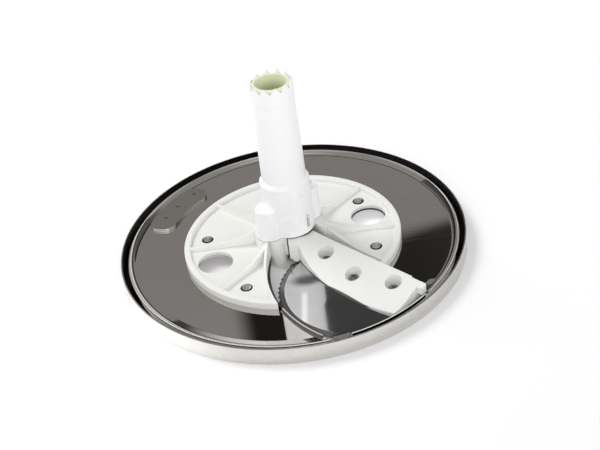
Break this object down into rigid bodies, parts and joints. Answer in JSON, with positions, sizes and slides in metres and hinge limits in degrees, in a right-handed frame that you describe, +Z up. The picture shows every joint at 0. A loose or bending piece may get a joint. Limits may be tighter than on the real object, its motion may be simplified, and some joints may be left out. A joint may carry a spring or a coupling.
{
  "type": "kitchen appliance blade",
  "caption": "Adjustable slicing disc: a steel plate in a rim hoop, a curved serrated blade on a white arm, a ribbed hub and a tall stem with a toothed crown.",
  "frame": {"origin": "on the stem's axis, in the plane of the rim hoop's lower edge", "axes": "+Z up along the stem towards its crown; -Y towards the front of the slicing slot, +X to the right of it"},
  "size_m": [0.19, 0.19, 0.1068],
  "materials": {
    "hoop_steel": "brushed",
    "plate_steel": "mirror polished",
    "blade_steel": "mirror polished with a ground edge",
    "weight_steel": "polished",
    "screw_steel": "plated",
    "white_plastic": "satin moulding",
    "core_plastic": "satin moulding"
  },
  "bodies": {
    "fixed_half": {"rim_hoop": "hoop_steel", "blade_plate": "blade_steel", "blade_arm": "white_plastic", "arm_screw_1": "screw_steel", "arm_screw_2": "screw_steel", "arm_screw_3": "screw_steel", "drive_core": "core_plastic", "guide_pin": "screw_steel"},
    "lifting_half": {"main_plate": "plate_steel", "balance_weight": "weight_steel", "hub_moulding": "white_plastic", "hub_screw_1": "screw_steel", "hub_screw_2": "screw_steel", "hub_screw_3": "screw_steel", "hub_screw_4": "screw_steel", "drive_tube": "white_plastic", "collar_screw_1": "screw_steel", "collar_screw_2": "screw_steel", "centre_cap": "white_plastic"}
  },
  "joints": [
    {"name": "thickness_slide", "type": "slide", "parent": "fixed_half", "child": "lifting_half", "axis": [0, 0, 1], "range_m": [0, 0.005]}
  ]
}
